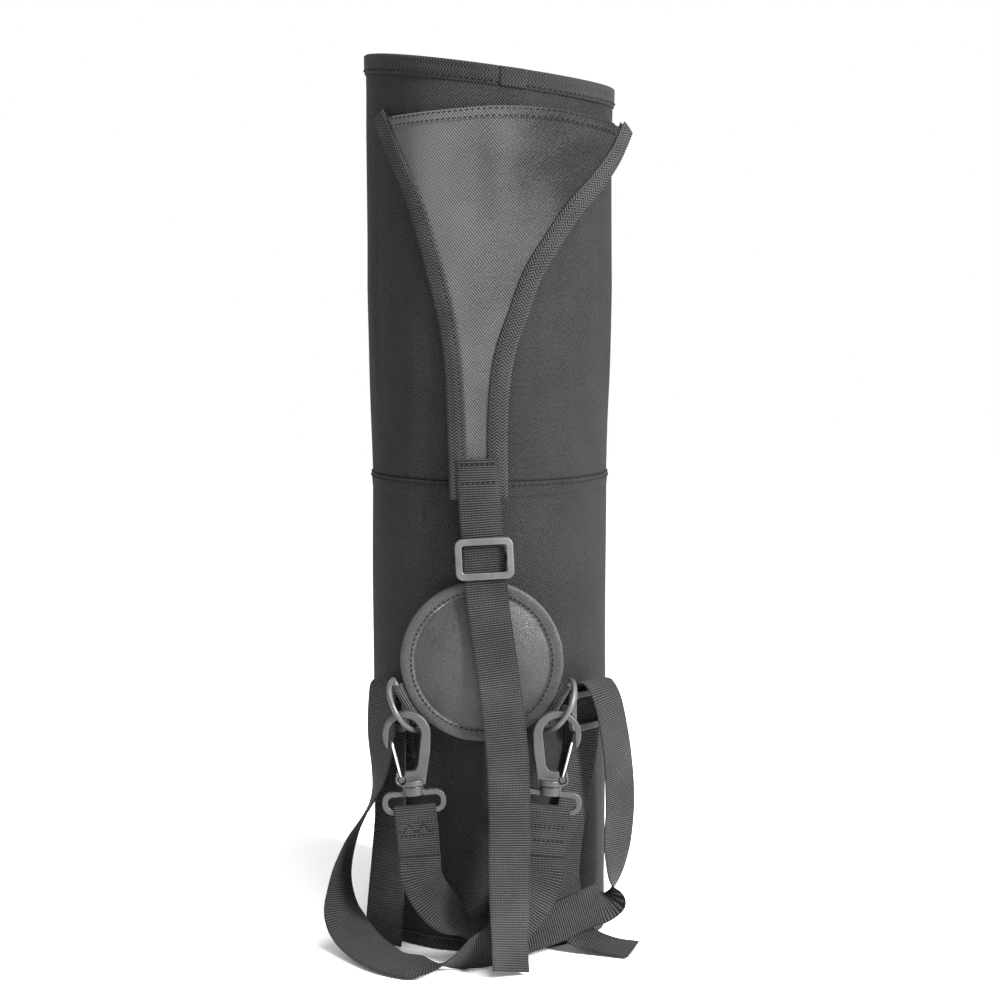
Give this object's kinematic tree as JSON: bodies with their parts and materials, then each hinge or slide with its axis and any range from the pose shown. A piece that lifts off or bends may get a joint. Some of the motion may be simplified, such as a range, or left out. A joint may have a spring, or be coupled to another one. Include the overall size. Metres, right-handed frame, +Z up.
{
  "type": "drawing tube",
  "caption": "Soft open-topped fabric carrying tube with a shaped shoulder panel, a round leather hub and clip-on webbing straps for wearing it on the back.",
  "frame": {"origin": "centre of the base, where the tube stands on the floor", "axes": "+Z up along the tube; -Y towards the side with the shoulder panel; +X to the right seen from that side"},
  "size_m": [0.1915, 0.2074, 0.5409],
  "materials": {
    "oxford_cloth": "dark grey coated oxford cloth with a fine twill",
    "lining_cloth": "thin plain-weave lining",
    "stiffener_foam": "closed-cell foam sheet, hidden",
    "base_board": "hidden stiff board",
    "hub_foam": "hidden foam pad",
    "binding_tape": "herringbone binding tape, stitched",
    "webbing": "ribbed 25 mm webbing",
    "leather": "smooth grained synthetic leather, stitched",
    "adjuster_plastic": "satin moulded plastic",
    "ring_metal": "satin grey coated wire",
    "hook_plastic": "satin moulded plastic with parting lines",
    "gate_wire": "bright steel wire"
  },
  "bodies": {
    "tube": {"lower_wall": "oxford_cloth", "upper_wall": "oxford_cloth", "mid_seam": "oxford_cloth", "back_seam": "oxford_cloth", "upper_back_seam": "oxford_cloth", "stiffener": "stiffener_foam", "lining": "lining_cloth", "base_panel": "oxford_cloth", "base_board": "base_board", "base_lining": "lining_cloth", "base_binding": "binding_tape", "mouth_binding": "binding_tape", "mouth_binding_lap": "binding_tape", "panel_anchor": "oxford_cloth", "left_adjuster": "adjuster_plastic", "right_adjuster": "adjuster_plastic", "left_adjuster_tab": "webbing", "right_adjuster_tab": "webbing", "left_strap_front": "webbing", "left_strap_turn": "webbing", "left_strap_loop": "webbing", "left_strap_thread": "webbing", "left_strap_tail": "webbing", "right_strap_front": "webbing", "right_strap_floor": "webbing", "right_strap_loop": "webbing", "right_strap_thread": "webbing", "right_strap_tail": "webbing"},
    "panel": {"shoulder_panel": "oxford_cloth", "panel_backing": "lining_cloth", "left_panel_binding": "binding_tape", "right_panel_binding": "binding_tape", "panel_hem": "oxford_cloth", "center_strap": "webbing", "center_strap_tail": "webbing"},
    "hub": {"center_adjuster": "adjuster_plastic", "hub_hanger": "webbing", "hub_front": "leather", "hub_core": "hub_foam", "hub_back": "leather", "left_ring_tape": "webbing", "right_ring_tape": "webbing"},
    "left_d_ring": {"left_ring": "ring_metal"},
    "left_snap_hook": {"left_hook": "hook_plastic"},
    "left_hook_gate": {"left_gate": "gate_wire"},
    "left_swivel": {"left_eye": "hook_plastic", "left_strap_end": "webbing"},
    "right_d_ring": {"right_ring": "ring_metal"},
    "right_snap_hook": {"right_hook": "hook_plastic"},
    "right_hook_gate": {"right_gate": "gate_wire"},
    "right_swivel": {"right_eye": "hook_plastic", "right_strap_end": "webbing"}
  },
  "joints": [
    {"name": "panel_fold", "type": "hinge", "parent": "tube", "child": "panel", "pos_m": [0, -0.0805, 0.507], "axis": [-1, 0, 0], "range_deg": [0, 30]},
    {"name": "hub_slide", "type": "slide", "parent": "panel", "child": "hub", "axis": [-0.0804, 0.0437, 0.9958], "range_m": [0, 0.016]},
    {"name": "left_ring_pivot", "type": "hinge", "parent": "hub", "child": "left_d_ring", "pos_m": [-0.0488, -0.0769, 0.15405], "axis": [0.5, 0, -0.866], "range_deg": [-5, 12]},
    {"name": "left_hook_swing", "type": "hinge", "parent": "left_d_ring", "child": "left_snap_hook", "pos_m": [-0.0467, -0.0894, 0.1414], "axis": [0, -1, 0], "range_deg": [-8, 8]},
    {"name": "left_gate_spring", "type": "hinge", "parent": "left_snap_hook", "child": "left_hook_gate", "pos_m": [-0.05174, -0.0894, 0.11064], "axis": [0, 1, 0], "range_deg": [0, 22], "stiffness_Nm_per_rad": 0.02, "springref_deg": -17.19},
    {"name": "left_eye_swivel", "type": "hinge", "parent": "left_snap_hook", "child": "left_swivel", "pos_m": [-0.04525, -0.0894, 0.1076], "axis": [-0.0872, 0, 0.9962], "range_deg": [-30, 30]},
    {"name": "right_ring_pivot", "type": "hinge", "parent": "hub", "child": "right_d_ring", "pos_m": [0.0404, -0.0769, 0.15405], "axis": [0.5, 0, 0.866], "range_deg": [-5, 12]},
    {"name": "right_hook_swing", "type": "hinge", "parent": "right_d_ring", "child": "right_snap_hook", "pos_m": [0.0383, -0.0894, 0.1414], "axis": [0, 1, 0], "range_deg": [-8, 8]},
    {"name": "right_gate_spring", "type": "hinge", "parent": "right_snap_hook", "child": "right_hook_gate", "pos_m": [0.04334, -0.0894, 0.11064], "axis": [0, -1, 0], "range_deg": [0, 22], "stiffness_Nm_per_rad": 0.02, "springref_deg": -17.19},
    {"name": "right_eye_swivel", "type": "hinge", "parent": "right_snap_hook", "child": "right_swivel", "pos_m": [0.03685, -0.0894, 0.1076], "axis": [0.0872, 0, 0.9962], "range_deg": [-30, 5]}
  ]
}
